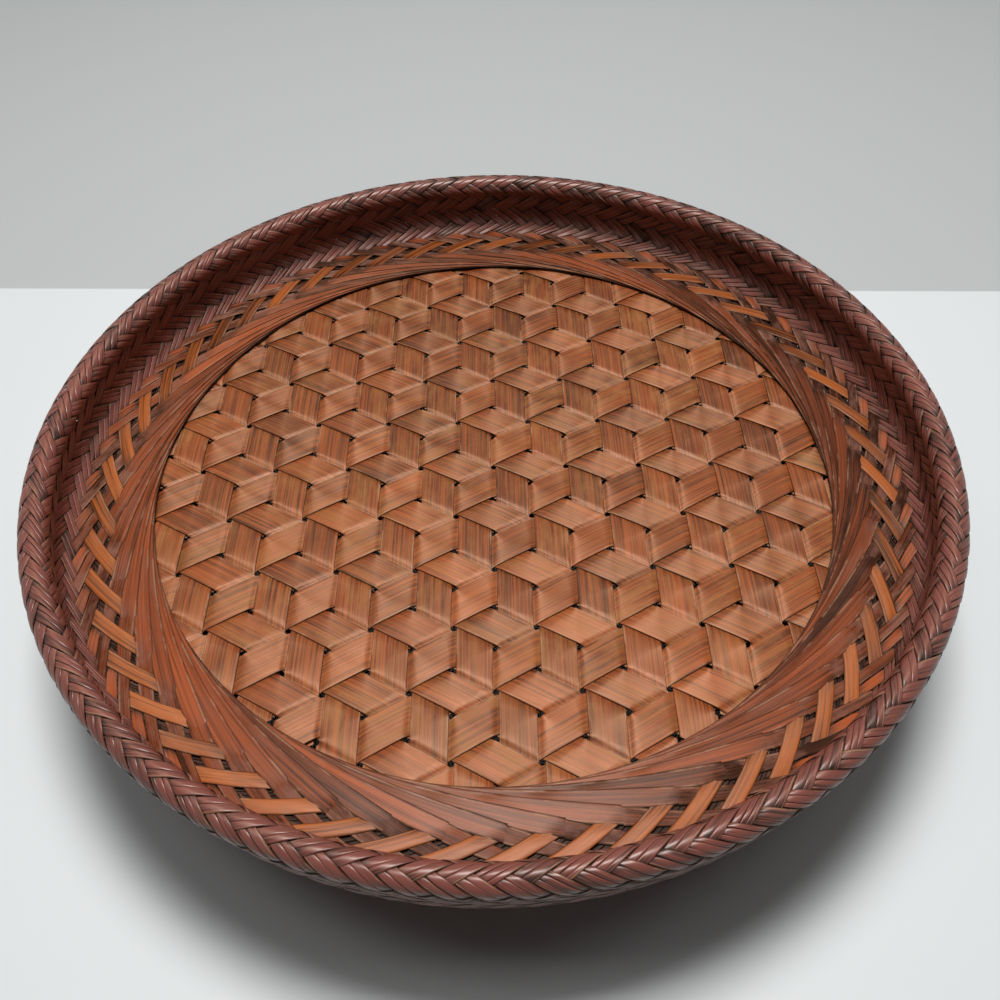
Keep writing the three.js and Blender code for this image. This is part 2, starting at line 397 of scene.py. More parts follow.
# Painted sheen: the floor's tone is raised towards the front
FRONT_PAINTED_SHEEN = 0.12  # how much lighter the floor is at the front than in the middle
ROWS_BETWEEN = np.array([0, 0.1, 0.26, 0.42, 0.58, 0.74, 0.9])

# The strip's section, as shares of half its width and heights above its middle
STRIP_SECTION = np.array([
    (-1.0, 0.08), (-0.97, 0.19), (-0.85, 0.24), (-0.4, 0.3), (0.0, 0.33), (0.4, 0.3),
    (0.85, 0.24), (0.97, 0.19), (1.0, 0.08), (1.0, -0.25), (0.5, -0.21), (-0.5, -0.21),
    (-1.0, -0.25)])


def smooth_step(value):
    """0 below 0, 1 above 1, and three squares less two cubes between."""
    value = np.clip(value, 0, 1)
    return value * value * (3 - 2 * value)


def ramp(value, start, end):
    """A smooth step that is 0 at the start and 1 at the end."""
    return smooth_step((value - start) / (end - start))


def levels_on(family, spots):
    """1 where the family's strip lies on top at each spot, 0 in the middle and -1 below.

    A strip goes over the next family's strip where their numbers differ by a multiple of three,
    and under it elsewhere.
    """
    numbers = np.floor(spots @ NORMALS.T / PITCH).astype(int)
    over_next = (numbers[:, family] - numbers[:, (family + 1) % 3]) % 3 == 0
    under_last = (numbers[:, (family + 2) % 3] - numbers[:, family]) % 3 == 0
    return over_next.astype(int) - under_last.astype(int)


def floor_strip(family, number):
    """One floor strip, as rows of its section from end to end.

    The lines of the other two families cut it into triangles. A row's place is shared out
    between two neighbouring lines, so rows lean with them. Its height is the level of the first
    triangle plus each change of level, smoothed over its line, plus a bow where it lies on top.
    Its tone is the strip's own, plus patches, plus a painted sheen that grows towards the front.
    """
    normal = NORMALS[family]
    along = np.array([-normal[1], normal[0]])
    middle = (number + 0.5) * PITCH
    others = [other for other in range(3) if other != family]
    distances = np.arange(-STRIPS_PER_FAMILY, STRIPS_PER_FAMILY + 1) * PITCH
    run = np.repeat([along @ NORMALS[other] for other in others], len(distances))
    lean = np.repeat([normal @ NORMALS[other] for other in others], len(distances))
    distance = np.tile(distances, 2)
    order = np.argsort((distance - lean * middle) / run)
    run, lean, distance = run[order], lean[order], distance[order]

    at_middle = (distance - lean * middle) / run
    centres = (at_middle[1:] + at_middle[:-1]) / 2
    spots = middle * normal + centres[:, None] * along
    level = levels_on(family, spots)
    near = np.hypot(*(spots + [0, STAR_OFFSET]).T) < RING + STRIP_LAP
    kept = np.flatnonzero(near)
    first, last = kept[0], kept[-1]

    across = middle + STRIP_SECTION[:, 0] * STRIP_WIDTH / 2
    lines = (distance[:, None] - lean[:, None] * across) / run[:, None]
    lines = lines[first:last + 2]
    level = level[first:last + 1]
    share = ROWS_BETWEEN[None, :, None]
    places = lines[:-1, None] * (1 - share) + lines[1:, None] * share
    places = np.concatenate([places.reshape(-1, len(across)), lines[-1:]])

    height = np.full(places.shape, float(level[0]))
    for n in np.flatnonzero(np.diff(level)) + 1:
        beyond = (places - lines[n]) * abs(run[first + n])
        height += (level[n] - level[n - 1]) * smooth_step(beyond / (2 * SLOPE_REACH) + 0.5)
    bow = np.zeros((len(level), len(ROWS_BETWEEN)))
    for n in np.flatnonzero((level[1:] == 1) & (level[:-1] == 1)):
        bow[n] = 1 - (1 - ROWS_BETWEEN) ** 2
        bow[n + 1] = 1 - ROWS_BETWEEN ** 2
    bow = np.append(bow.ravel(), 0)[:, None]

    z = FLOOR_MIDDLE + height * LEVEL_STEP + bow * STRIP_BOW + STRIP_SECTION[:, 1]
    flat = across[None, :, None] * normal + places[..., None] * along + [0, STAR_OFFSET]
    points = np.concatenate([flat, z[..., None]], axis=-1)[None]

    fibre = fibre_values(across, places)
    knots = np.arange(-RING, RING, STRIP_PATCH)
    patchy = np.interp(places, knots, random.normal(0, PATCH_TONE, len(knots)))
    forward = -flat[..., 1] / RING
    # The tone holds a painted sheen towards the front
    finish = np.stack([
        np.broadcast_to(STRIP_SECTION[:, 0], places.shape),
        random.uniform(*STRIP_TONES) + patchy + FRONT_PAINTED_SHEEN * forward,
        np.full(places.shape, random.uniform(*STRIP_DUST))], axis=-1)
    label = f"{FAMILIES[family]}_{number + STRIPS_PER_FAMILY // 2 + 1:02d}"
    return new_piece(f"floor_strip_{label}", points, closed_strips(points), FLOOR_BAMBOO,
                     [f"strip_{label}"], fibre, finish,
                     across_fibres(points, STRIP_SECTION))


# Profiles: radius, height and outward normal at each distance along a woven sheet

PROFILE_SAMPLES = 1200

# Places between which the weave's drift sets in, and between which it ends
DRIFT_STARTS = (6, 16)
DRIFT_ENDS = (30, 42)


class Profile:
    """A line in the plane of radius and height, measured by the distance along it.

    Each point and normal is interpolated between close samples. The normals are averaged over
    a short stretch, so that a splint bends smoothly where the line does not.
    """

    def __init__(self, points, smoothing, drift=0.0, turned=0.0):
        """Sample the line evenly, and average the normals over the smoothing's length."""
        self.drift = drift
        self.turned = turned
        points = np.array(points)
        runs = np.hypot(*np.diff(points, axis=0).T)
        ends = np.concatenate([[0], np.cumsum(runs)])
        self.length = ends[-1]
        self.places = np.linspace(0, self.length, PROFILE_SAMPLES)
        self.radii = np.interp(self.places, ends, points[:, 0])
        self.heights = np.interp(self.places, ends, points[:, 1])
        window = max(3, int(smoothing / self.length * len(self.places)))
        weights = np.hanning(window + 2)[1:-1]
        steps = np.gradient(np.stack([self.radii, self.heights]), axis=1)
        padded = np.pad(steps, ((0, 0), (window // 2, window - 1 - window // 2)), mode="edge")
        steps = np.stack([np.convolve(row, weights, "valid") for row in padded])
        steps /= np.hypot(*steps)
        self.normals = np.stack([-steps[1], steps[0]])

    def at(self, place, angle, lift):
        """Points at distances along the line, angles round the tray and lifts off the line.

        Places between the floor's edge and the wall drift outwards at the front and inwards at
        the back, by the cosine of the angle from the front, as in a tray woven by hand. Places
        below zero go on straight inwards.
        """
        angle = angle + self.turned
        near_floor = ramp(place, *DRIFT_STARTS) * (1 - ramp(place, *DRIFT_ENDS))
        place = place + self.drift * near_floor * -np.sin(angle)
        beyond = np.minimum(place, 0)
        normal_r = np.interp(place, self.places, self.normals[0])
        normal_z = np.interp(place, self.places, self.normals[1])
        radius = np.interp(place, self.places, self.radii) + beyond + lift * normal_r
        z = np.interp(place, self.places, self.heights) + lift * normal_z
        return np.stack([radius * np.cos(angle), radius * np.sin(angle), z], axis=-1)

    def radius(self, place):
        """The radius at a distance along the line, without drift."""
        return np.interp(place, self.places, self.radii) + np.minimum(place, 0)


def arc(radius, height, size, start, end, steps=24):
    """Points of an arc in the plane of radius and height, from and to angles in degrees."""
    angles = np.radians(np.linspace(start, end, steps))
    return list(zip(radius + size * np.cos(angles), height + size * np.sin(angles)))


RIM_WRAP = 125  # degrees that the sheet follows the rim to each side of its top
LIFT = SHEET / 2 - COVER
border = Profile([
    (RING, BORDER_MIDDLE + LIFT),
    *arc(INNER_WALL - INNER_BEND, BORDER_MIDDLE + INNER_BEND, INNER_BEND - LIFT, -90, 0),
    *arc(RIM_RADIUS, RIM_HEIGHT, RIM_OUTSIDE - COVER, 90 + RIM_WRAP, 90 - RIM_WRAP, steps=60),
    *arc(OUTER_WALL - OUTER_BEND, UNDERSIDE_MIDDLE + OUTER_BEND, OUTER_BEND + LIFT, 0, -90),
    (UNDERSIDE_EDGE, UNDERSIDE_MIDDLE - LIFT),
], smoothing=2.5, drift=1.5, turned=STEP)

COUNT_SMOOTHING = 4.0  # the stretch over which a change of the weave's pace is spread


class Weave:
    """Two families of splints that climb a profile, one each way round.

    Rows of the weave begin at given places. The count of crossings runs through a given number
    at each of these places, smoothed between them, and one step of the count is the angle from
    one splint to the next. The forward family turns through its share of the count, and the
    backward family through the rest. A splint's lean is the angle whose cotangent is the radius
    times its turn for each millimetre of the profile.
    """

    def __init__(self, profile, splints, row_places, row_counts, share_places, shares):
        """Work out each family's turn and lean at the profile's samples."""
        self.profile = profile
        self.step = 2 * np.pi / splints
        self.places = profile.places
        spacing = self.places[1] - self.places[0]
        counts = np.interp(self.places, row_places, row_counts)
        width = int(COUNT_SMOOTHING / spacing)
        weights = np.hanning(width + 2)[1:-1]
        counts = np.pad(counts, (width // 2, width - 1 - width // 2), mode="reflect",
                        reflect_type="odd")
        self.counts = np.convolve(counts, weights / weights.sum(), "valid")
        steps = np.diff(self.counts, prepend=2 * self.counts[0] - self.counts[1])
        forward = steps * np.interp(self.places, share_places, shares)
        turns = np.cumsum(forward) * self.step
        self.turns = (turns, self.counts * self.step - turns)
        self.leans = [
            np.arctan2(spacing, profile.radii * turned * self.step)
            for turned in (forward, steps - forward)]

    def turn(self, family, place):
        """The angle that a family has turned through, at a place."""
        return np.interp(place, self.places, self.turns[family])

    def lean(self, family, place):
        """The angle between a family's splints and the way round the tray, at a place."""
        return np.interp(place, self.places, self.leans[family])

    def count(self, place):
        """How many steps both families have turned through together, at a place."""
        return np.interp(place, self.places, self.counts)

    def place_of(self, count):
        """The place where the count is reached."""
        return np.interp(count, self.counts, self.places)

    def centre(self, family, number, place):
        """The angle round the tray of a splint's middle."""
        way = 1 if family == 0 else -1
        return number * self.step + way * self.turn(family, place)

    def crossing(self, family, number, place, angle):
        """The count at a point of a splint, from its number and the other family's there."""
        if family == 0:
            return (angle + self.turn(1, place)) / self.step - number
        return number - (angle - self.turn(0, place)) / self.step


OVER_SHARPNESS = 2.2


def over(crossing):
    """1 where the forward splints lie on top and -1 where the backward ones do.

    It is the hyperbolic tangent of a cosine that repeats after four crossings, so each splint
    goes over two and under two.
    """
    wave = np.cos(np.pi / 2 * (crossing - 0.5))
    return np.tanh(OVER_SHARPNESS * wave) / np.tanh(OVER_SHARPNESS)


# Places where the rows of the border begin, and the count of crossings there: the fan's edge,
# the long bars, the third row, and then the herringbone of wall and rim. Below them, places and
# the forward family's share of the count there.
ROW_PLACES = (0, 8, 12, 16, 24.9, 31.2, 36.0, 43.8, 51.3, 58.6, 65.0, 71.8, 79.5, 148.0)
ROW_COUNTS = (-18, -10, -7.3, -5, -1, 1.5, 3.5, 5.5, 7.5, 9.5, 11.5, 13.5, 15.5, 33.5)
SHARE_PLACES = (0, 15, 17, 25, 30)
FORWARD_SHARES = (0.62, 0.62, 0.57, 0.55, 0.5)
weave = Weave(border, SPLINTS, ROW_PLACES, ROW_COUNTS, SHARE_PLACES, FORWARD_SHARES)

# Counts where strips pass each other between the fan and the third row
FAN_DIVE = (-5.4, -4.3)
BAR_EMERGES = (-5.1, -4.3)
BAR_DIVES = (-0.6, 0.2)
WIDE_RISES = (-1.4, -0.8)
NARROW_RISES = (-0.4, 0.2)
WOVEN_FROM = 0.5

# Where the bars begin, as a place, and the counts where they and the third row's strips end
BAR_START = 9.0
BAR_ENDS = 0.6
THIRD_ROW_STARTS, THIRD_ROW_ENDS = -1.6, 2.9

SPLINT_THICKNESS = 0.4
WEAVE_LIFT = 0.48  # from the middle of the weave to a splint on top
ROW_SPACING = 0.95
BAR_WIDTH = 5.6
SLIT = 0.02  # half the gap between two fine splints, as a share of the weaver's half width
WOBBLE = 0.03  # how far a fine splint wanders, as a share of the weaver's half width
WOBBLE_LENGTHS = (5, 11)
CROWN = 0.1  # how much lower a weaver's edges lie than its middle
LOOSENESS = 0.03
CUT_SPREAD = 0.12  # how far the cuts between fine splints wander, as the same share
SPLINT_GROUPS = 3  # pieces that each kind of the border's splints is shared between

# Painted shade and dust: places where the outside begins, which is painted darker as shade, and
# where border and wall meet
OUTSIDE = (66, 72)
OUTSIDE_EVENNESS = 0.6  # share of a splint's own tone that is lost there
# Painted shade: how much darker the outside is, and how much more it darkens a splint by its
# level there
OUTSIDE_PAINTED_SHADE = 0.85
OUTSIDE_LEVEL_SHADE = 0.3
OUTSIDE_CLEANNESS = 0.5
CORNER, CORNER_REACH, CORNER_DUST = 31, 6, 1.2
SPLINT_TONE_SPREAD = 0.2

# Tones, and the painted light and shade that each side adds: directions in degrees, and tone
# added towards them
BORDER_TONES, BORDER_SIDE_SHADING = (-0.1, 0.8), ((45, -0.3), (90, -0.1), (255, 0.1))
BAR_TONES, BAR_SIDE_SHADING = (0.15, 0.9), ((30, -0.15), (90, -0.4), (255, 0.15))
THIRD_ROW_TONES, THIRD_ROW_SIDE_SHADING = (0.05, 0.6), ((90, -0.45), (270, 0.3))

# A splint's section, as shares of half its width and of half its thickness
SPLINT_SECTION = np.array([
    (-1.0, 0.1), (-0.86, 0.8), (-0.6, 1.0), (0.6, 1.0), (0.86, 0.8), (1.0, 0.1), (0.0, -1.0)])


def painted_side_shading(angle, sides):
    """Painted light and shade by side: for each direction, its share of the cosine of the angle
    from it.
    """
    return sum(share * np.maximum(np.cos(angle - np.radians(direction)), 0)
               for direction, share in sides)


def fine_splints(count):
    """Shares of a weaver's width at which its two or three fine splints begin and end."""
    fine = []
    for _ in range(count):
        parts = random.choice([2, 3], p=[0.75, 0.25])
        cuts = np.linspace(-1, 1, parts + 1)
        cuts[1:-1] += random.uniform(-CUT_SPREAD, CUT_SPREAD, parts - 1)
        fine.append(list(zip(cuts[:-1], cuts[1:])))
    return fine


def woven_splints(name, weave, family, numbers, start, end, widths, levels, material, node,
                  tones, sides=(), split=True, outer=0.0, contrast=0.5):
    """Splints of one family between two places, each made of fine splints side by side.

    Rows lie at even places along the profile. A point's angle is the weaver's own angle less
    its offset across, over the radius times the sine of the lean. Its lift is the weave's wave
    at that point, less a slight crown across the weaver. As painted light and shade, a splint is
    darker where it lies below and lighter where it lies on top. On the outside, by the share
    outer, splints are painted darker as shade and evener, and differ more by level. Painted light
    and shade by side is added to the tone.
    Dust gathers where border and wall meet.
    """
    rows = np.linspace(start, end, max(4, int((end - start) / ROW_SPACING)))
    lean = weave.lean(family, rows)
    radius = weave.profile.radius(rows)
    spacing = weave.step * radius * np.sin(lean)
    half = widths(weave.count(rows), spacing) / 2
    strips, fibres, finishes = [], [], []
    cuts = fine_splints(len(numbers)) if split else [[(-1, 1)]] * len(numbers)
    for number, parts in zip(numbers, cuts):
        tone_here = random.uniform(*tones)
        for low, high in parts:
            middle = (low + high) / 2
            width = (high - low) / 2 - (SLIT if split else 0)
            wobble = WOBBLE * np.sin(
                rows / random.uniform(*WOBBLE_LENGTHS) + random.uniform(*PHASES))
            share = middle + wobble[:, None] + width * SPLINT_SECTION[:, 0]
            place = np.broadcast_to(rows[:, None], share.shape)
            offset = share * half[:, None]
            angle = (weave.centre(family, number, rows)[:, None]
                     - offset / (radius * np.sin(lean))[:, None])
            level = levels(weave.crossing(family, number, place, angle))
            lift = (WEAVE_LIFT * level + SPLINT_THICKNESS / 2 * SPLINT_SECTION[:, 1]
                    - CROWN * share ** 2 + random.uniform(-LOOSENESS, LOOSENESS))
            strips.append(weave.profile.at(place, angle, lift))
            fibres.append(fibre_values(offset, place / np.sin(lean)[:, None]))
            outside = outer * ramp(place, *OUTSIDE)
            own_tone = tone_here + random.uniform(-SPLINT_TONE_SPREAD, SPLINT_TONE_SPREAD)
            # Painted light and shade: darker outside and where a splint lies below, lighter where
            # it lies on top, and by side
            tone = (own_tone * (1 - OUTSIDE_EVENNESS * outside) - OUTSIDE_PAINTED_SHADE * outside
                    + (contrast + OUTSIDE_LEVEL_SHADE * outside) * np.clip(level, -2, 1)
                    + painted_side_shading(angle, sides))
            dust = (random.uniform(0.0, 1.0) * (1 - OUTSIDE_CLEANNESS * outside)
                    + CORNER_DUST * np.exp(-((place - CORNER) / CORNER_REACH) ** 2))
            finishes.append(np.stack([share, tone, dust], axis=-1))
    points = np.stack(strips)
    return new_piece(name, points, closed_strips(points), material, [node],
                     np.stack(fibres), np.stack(finishes), across_fibres(points, SPLINT_SECTION))


# Heights of splints at each crossing, as shares of the weave's lift: once woven, the forward
# family follows over() and the backward family its opposite

def third_row_levels(crossing):
    """Height of a narrow forward strip, which rises from -1 to 1 into the third row."""
    return np.where(crossing > WOVEN_FROM, over(crossing), 2 * ramp(crossing, *NARROW_RISES) - 1)


def bar_end_levels(crossing):
    """Height of a splint that carries a bar on: 1.1 below the middle before it is woven."""
    return np.where(crossing > WOVEN_FROM, -over(crossing), -1.1)


def lower_levels(crossing):
    """Height of a splint that runs 1.9 below the middle, under fan and bars, and rises to -1."""
    return np.where(crossing > WOVEN_FROM, -over(crossing), -1.0 - 0.9 * smooth_step(-crossing))


def bar_levels(crossing):
    """Height of a bar: -0.05 between two fan strips, 0.8 higher over the next, 1.6 down again."""
    return -0.05 + 0.8 * ramp(crossing, *BAR_EMERGES) - 1.6 * ramp(crossing, *BAR_DIVES)


# Counts between which splints grow from their width below the bars to the full one, and between
# which they grow a little narrower outside
WIDENS = (-0.5, 0.5)
NARROWS = (12.5, 14.5)


def third_row_widths(count, spacing):
    """Widths of the narrow strips: 80% of the spacing, and 97% from the third row on."""
    return spacing * (0.8 + 0.17 * ramp(count, *WIDENS))


def lower_widths(count, spacing):
    """Widths of the lower splints: 72% of the spacing, 98% on the wall and 94% outside."""
    inner = 0.72 + 0.26 * ramp(count, *WIDENS)
    return spacing * (inner - 0.04 * ramp(count, *NARROWS))


def even_widths(count, spacing):
    """Widths of most splints: 98% of the spacing, and 94% outside."""
    return spacing * (0.98 - 0.04 * ramp(count, *NARROWS))


def bar_widths(count, spacing):
    """The bars' one width, whatever the spacing."""
    return np.full(len(count), BAR_WIDTH)


def border_splints():
    """The herringbone of wall, rim, outer wall and underside, in groups of weavers.

    Each kind has its family, its first number, the count where it starts, widths and levels.
    """
    kinds = (
        ("wide", 0, 0, 2.2, even_widths, over),
        ("narrow", 0, 1, 2.2, even_widths, over),
        ("even", 1, 0, 0.1, even_widths, bar_end_levels),
        ("lower", 1, 1, -6.0, lower_widths, lower_levels))
    for label, family, first, start, widths, levels in kinds:
        for group in range(SPLINT_GROUPS):
            numbers = np.arange(first + 2 * group, SPLINTS, 2 * SPLINT_GROUPS)
            # contrast sets how strongly painted light and shade follow a splint's level
            woven_splints(f"border_splints_{label}_{group + 1}", weave, family, numbers,
                          weave.place_of(start), border.length, widths, levels,
                          BORDER_BAMBOO, "woven_border", BORDER_TONES, BORDER_SIDE_SHADING,
                          outer=1.0, contrast=0.75)


def single_strips():
    """The bars that lie over the fan's ends, and the narrow strips of the third row."""
    bar_numbers = np.arange(0, SPLINTS, 2)
    woven_splints("border_bars", weave, 1, bar_numbers, BAR_START, weave.place_of(BAR_ENDS),
                  bar_widths, bar_levels, BAR_BAMBOO, "woven_border", BAR_TONES, BAR_SIDE_SHADING,
                  split=False)
    woven_splints("border_third_row", weave, 0, bar_numbers + 1,
                  weave.place_of(THIRD_ROW_STARTS), weave.place_of(THIRD_ROW_ENDS),
                  third_row_widths, third_row_levels, FAN_BAMBOO, "woven_border",
                  THIRD_ROW_TONES, THIRD_ROW_SIDE_SHADING, split=False)


# Fan: strips that leave the ring along its tangent

FAN_WIDTH = 6.2
FAN_WIDTH_SPREAD = (0.95, 1.02)
FAN_THICKNESS = 0.3
FAN_STEP = 0.42  # height from one strip's layer to the next
FAN_START = 2.7  # the strips' middle at the ring
FAN_LEAD = 34.0  # how far a strip runs along the ring before it leaves
FAN_CURVE = 0.0018  # millimetres outwards for each squared millimetre round the tray
FAN_LEAVES = 15.0  # the place where the strip takes on the weave's lean
FAN_TILT = 0.06  # how much lower the outer edge lies, for each millimetre across
FAN_TILT_ENDS = (8, 14)
FAN_TOP = 0.2
FAN_ROW_SPACING = 1.6
LEAVING_ROW_SPACING = 0.5
FAN_NARROWS = (-4.6, 0)
NARROWED_WIDTH = 0.97  # as a share of the spacing of the wall's splints
FAN_SWAY = 0.25
FAN_SWAY_LENGTH = 30
BELOW_BARS = -0.14

# Counts where the fan's stain fades towards the bars, its tones, the painted light and shade that
# each side adds, the tone lost where it has faded, and at the back once more as painted shade,
# and the dust there
FAN_FADES = (-7, -5.2)
FAN_TONES, FAN_SIDE_SHADING = (0.28, 0.82), ((60, -0.2), (210, 0.1), (310, -0.15))
FADED_TONE = 0.3
FADED_DUST = 1.4


def fan_line():
    """The middle line of a fan strip, from below the fan to the third row.

    It stays at the ring and then moves outwards by a constant times the square of the distance
    round the tray, until it takes on the weave's lean. Each strip lies on the next one, so its
    layer rises by one step for each spacing from strip to strip that it has travelled, less
    what the tilt makes up. Gives each point's place, the angle turned, the sine and the cosine
    of the slope, the way travelled and the layer's height.
    """
    reach = np.sqrt((FAN_LEAVES - FAN_START) / FAN_CURVE)
    round_ring = np.arange(-FAN_LEAD, reach, FAN_ROW_SPACING)
    place = FAN_START + FAN_CURVE * np.maximum(round_ring, 0) ** 2
    slope = 2 * FAN_CURVE * np.maximum(round_ring, 0)
    leaving = np.arange(FAN_LEAVES, weave.place_of(THIRD_ROW_ENDS), LEAVING_ROW_SPACING)
    turn = np.cumsum(np.gradient(round_ring) / border.radius(place))
    turn = turn - turn[-1] + weave.turn(0, FAN_LEAVES)
    turn = np.concatenate([turn, weave.turn(0, leaving)])
    place = np.concatenate([place, leaving])
    slope = np.concatenate([slope, np.tan(weave.lean(0, leaving))])
    sine, cosine = slope / np.hypot(1, slope), 1 / np.hypot(1, slope)

    spacing = 2 * weave.step * RING
    travelled = np.concatenate([
        round_ring, reach + np.cumsum(LEAVING_ROW_SPACING / sine[-len(leaving):])])
    spreading = 2 * FAN_CURVE * np.maximum(travelled, 0)
    climb = np.maximum(FAN_STEP - FAN_TILT * spacing * spreading, 0)
    layer = np.cumsum(climb / spacing * np.gradient(travelled))
    return place, turn, sine, cosine, travelled, layer


def fan_strips():
    """One strip for each pair of the wall's forward splints, leaving the ring like a fan's blade.

    A point's lift is its strip's layer less the layer of a strip whose middle passes through
    the point, less a slight tilt outwards. Beyond the fan it dives below two bars, and then it
    lies on top in the third row, where it narrows to the spacing of the wall's splints.
    """
    place, turn, sine, cosine, travelled, layer = fan_line()
    radius = border.radius(place)
    outward = travelled >= 0
    narrowed = ramp(weave.count(place), *FAN_NARROWS)
    full = (FAN_WIDTH * (1 - narrowed)
            + NARROWED_WIDTH * weave.step * radius * sine * narrowed)
    strips, fibres, finishes = [], [], []
    for number in range(0, SPLINTS, 2):
        width = full / 2 * random.uniform(*FAN_WIDTH_SPREAD)
        sway = (random.uniform(-FAN_SWAY, FAN_SWAY)
                * np.sin(travelled / FAN_SWAY_LENGTH + random.uniform(*PHASES)))
        offset = width[:, None] * SPLINT_SECTION[:, 0] + sway[:, None]
        places = place[:, None] + offset * cosine[:, None]
        angle = number * weave.step + turn[:, None] - offset * sine[:, None] / radius[:, None]
        crossing = weave.crossing(0, number, places, angle)
        dive = ramp(crossing, *FAN_DIVE)
        layer_there = np.interp(places, place[outward], layer[outward])
        tilt = FAN_TILT * (1 - ramp(places, *FAN_TILT_ENDS))
        top = FAN_TOP - tilt * offset + layer[:, None] - layer_there
        risen = BELOW_BARS + (WEAVE_LIFT - BELOW_BARS) * ramp(crossing, *WIDE_RISES)
        woven = np.where(crossing > WOVEN_FROM, WEAVE_LIFT * over(crossing), risen)
        lift = top * (1 - dive) + woven * dive + FAN_THICKNESS / 2 * SPLINT_SECTION[:, 1]
        strips.append(border.at(places, angle, lift))
        fibres.append(fibre_values(offset, travelled[:, None]))
        faded = ramp(crossing, *FAN_FADES)
        # The tone adds painted light and shade by side, with more painted shade at the back where
        # the strip has faded
        finishes.append(np.stack([
            np.broadcast_to(SPLINT_SECTION[:, 0], offset.shape),
            random.uniform(*FAN_TONES) - FADED_TONE * faded
            + painted_side_shading(angle, (*FAN_SIDE_SHADING, (90, -FADED_TONE * faded))),
            random.uniform(0, 1) + FADED_DUST * faded], axis=-1))
    points = np.stack(strips)
    return new_piece("border_fan_strips", points, closed_strips(points), FAN_BAMBOO,
                     ["woven_border"], np.stack(fibres), np.stack(finishes),
                     across_fibres(points, SPLINT_SECTION))


# Rings and foot

RING_STEPS = 360
CORE_SEAT = 0.35  # from the floor's top to the core of the ring
CORE_START, CORE_END = 0.6, 15.0  # from the sheet's inner edge
CORE_THICKNESS, CORE_CORNER = 1.0, 0.4
FOOT_SPLINTS = 88
FOOT_ROW = 7.4
FOOT_TONES = (-0.1, 0.4)
FOOT_HOOP_CORNER = 1.2


def turned_ring(name, outline, material, nodes):
    """A solid ring from an outline in the plane of radius and height, carried round."""
    outline = np.array(outline)
    angle = np.linspace(0, 2 * np.pi, RING_STEPS, endpoint=False)[:, None]
    points = np.stack([
        outline[:, 0] * np.cos(angle), outline[:, 0] * np.sin(angle),
        np.broadcast_to(outline[:, 1], (RING_STEPS, len(outline)))], axis=-1)
    return new_piece(name, points, closed_ring(points), material, nodes)


def rounded_bar(inner, outer, bottom, top, corner):
    """Outline of a bar with rounded corners, from its lower outer corner round to the start."""
    return [
        *arc(outer - corner, bottom + corner, corner, -90, 0, 5),
        *arc(outer - corner, top - corner, corner, 0, 90, 5),
        *arc(inner + corner, top - corner, corner, 90, 180, 5),
        *arc(inner + corner, bottom + corner, corner, 180, 270, 5),
    ]


def ring_core():
    """The bundled splints below the fan, as one bar that fills the ring."""
    bottom = FLOOR_TOP + CORE_SEAT
    outline = rounded_bar(RING + CORE_START, RING + CORE_END, bottom, bottom + CORE_THICKNESS,
                          CORE_CORNER)
    turned_ring("border_ring_core", outline, HOOP_BAMBOO, ["woven_border"])


def foot():
    """The foot's woven band and the hoop that it stands on.

    Both families climb the band at one pace, two crossings to a row.
    """
    middle = hoop_high[0] - FOOT_HOOP_WIDTH / 2
    wall = Profile([(middle, band_high[2]), (middle, band_low[2])], smoothing=2.0)
    count = wall.length / FOOT_ROW * 2
    band = Weave(wall, FOOT_SPLINTS, (0, wall.length), (0, count), (0, 1), (0.5, 0.5))
    for family, label, sign in ((0, "forward", 1), (1, "backward", -1)):
        woven_splints(f"foot_band_{label}", band, family, np.arange(FOOT_SPLINTS), 0.0,
                      wall.length, even_widths, lambda crossing: sign * over(crossing),
                      BORDER_BAMBOO, "foot_band", FOOT_TONES)
    outline = rounded_bar(middle - FOOT_HOOP_WIDTH / 2, middle + FOOT_HOOP_WIDTH / 2, 0.0,
                          hoop_high[2], FOOT_HOOP_CORNER)
    turned_ring("foot_bent_hoop", outline, HOOP_BAMBOO, ["foot_hoop"])


# Stage, light and camera

SENSOR_WIDTH = 36.0
CAMERA_LENS = 34.74
CAMERA_DOWN = np.radians(50.12)
CAMERA_ROLL = np.radians(-0.96)
CAMERA_PLACE = (2.7, -281.0, FLOOR_TOP + 316.8)

# The table: half its side in metres, the direction in which it turns grey, and how far behind the
# tray's middle it does
TABLE_REACH = 1.2
TABLE_BACK = (0.0314, 0.9995, 0.0)
TABLE_EDGE = 187.8
TABLE_WHITE, TABLE_GREY = "#e1e4e4", "#bcbfbe"
WORLD_LIGHT = 0.024

# Each lamp's sides in metres, power in watts, place in metres and turn in degrees
LAMPS = (
    ("lamp_above", (0.5, 0.4), 21.4, (0.0, 0.22, 1.5), (-8, 0, 0)),
    ("lamp_left", (0.62, 0.34), 2.2, (-0.58, -0.1, 1.5), (0, -21, 0)),
    ("lamp_right", (0.62, 0.34), 1.2, (0.58, -0.1, 1.5), (0, 21, 0)),
)


